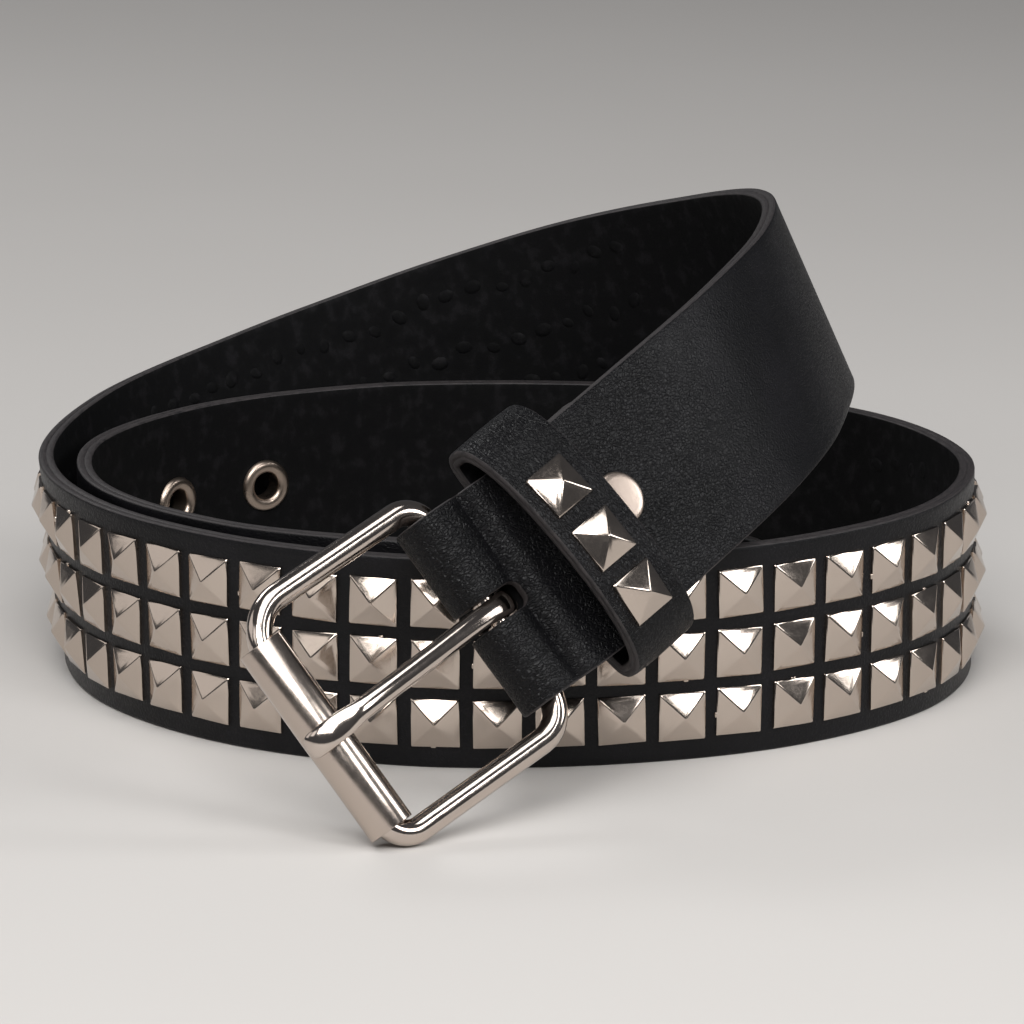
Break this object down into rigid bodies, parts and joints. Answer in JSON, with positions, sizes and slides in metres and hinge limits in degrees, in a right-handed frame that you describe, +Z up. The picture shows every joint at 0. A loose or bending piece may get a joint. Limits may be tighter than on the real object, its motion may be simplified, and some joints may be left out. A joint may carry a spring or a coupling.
{
  "type": "studded leather belt with roller buckle",
  "caption": "Leather belt with rows of metal pyramid studs, a roller buckle, eyelets and a studded keeper loop, lying loosely rolled on its edge.",
  "frame": {"origin": "middle of the belt's footprint, on the floor that its bottom edge stands on", "axes": "+Z up; +Y from the buckle side towards the back of the roll; +X to the right, seen from the buckle side"},
  "size_m": [0.1971, 0.232, 0.0934],
  "materials": {
    "black_leather": "black pebbled leather, semi-matt, with lighter grey cut edges",
    "stud_nickel": "polished nickel, slightly warm",
    "eyelet_nickel": "polished nickel",
    "buckle_nickel": "polished nickel wire",
    "roller_nickel": "satin nickel sheet"
  },
  "bodies": {
    "strap_body": {"studded_strap": "black_leather", "eyelet_1": "eyelet_nickel", "eyelet_2": "eyelet_nickel", "eyelet_3": "eyelet_nickel", "eyelet_4": "eyelet_nickel", "eyelet_5": "eyelet_nickel", "eyelet_6": "eyelet_nickel", "eyelet_7": "eyelet_nickel", "keeper": "black_leather", "keeper_stud_1": "stud_nickel", "keeper_stud_2": "stud_nickel", "keeper_stud_3": "stud_nickel", "rivet": "stud_nickel"},
    "buckle_body": {"buckle_frame": "buckle_nickel"},
    "roller_body": {"roller": "roller_nickel"},
    "prong_body": {"prong": "buckle_nickel"}
  },
  "joints": [
    {"name": "buckle_swing", "type": "hinge", "parent": "strap_body", "child": "buckle_body", "pos_m": [-0.003, -0.081, 0.037], "axis": [-0.5849, 0.2366, 0.7759], "range_deg": [0, 35]},
    {"name": "prong_swing", "type": "hinge", "parent": "buckle_body", "child": "prong_body", "pos_m": [-0.003, -0.081, 0.037], "axis": [-0.5849, 0.2366, 0.7759], "range_deg": [0, 50]},
    {"name": "roller_spin", "type": "hinge", "parent": "buckle_body", "child": "roller_body", "pos_m": [-0.03364, -0.10642, 0.01978], "axis": [-0.5849, 0.2366, 0.7759], "continuous": true}
  ]
}
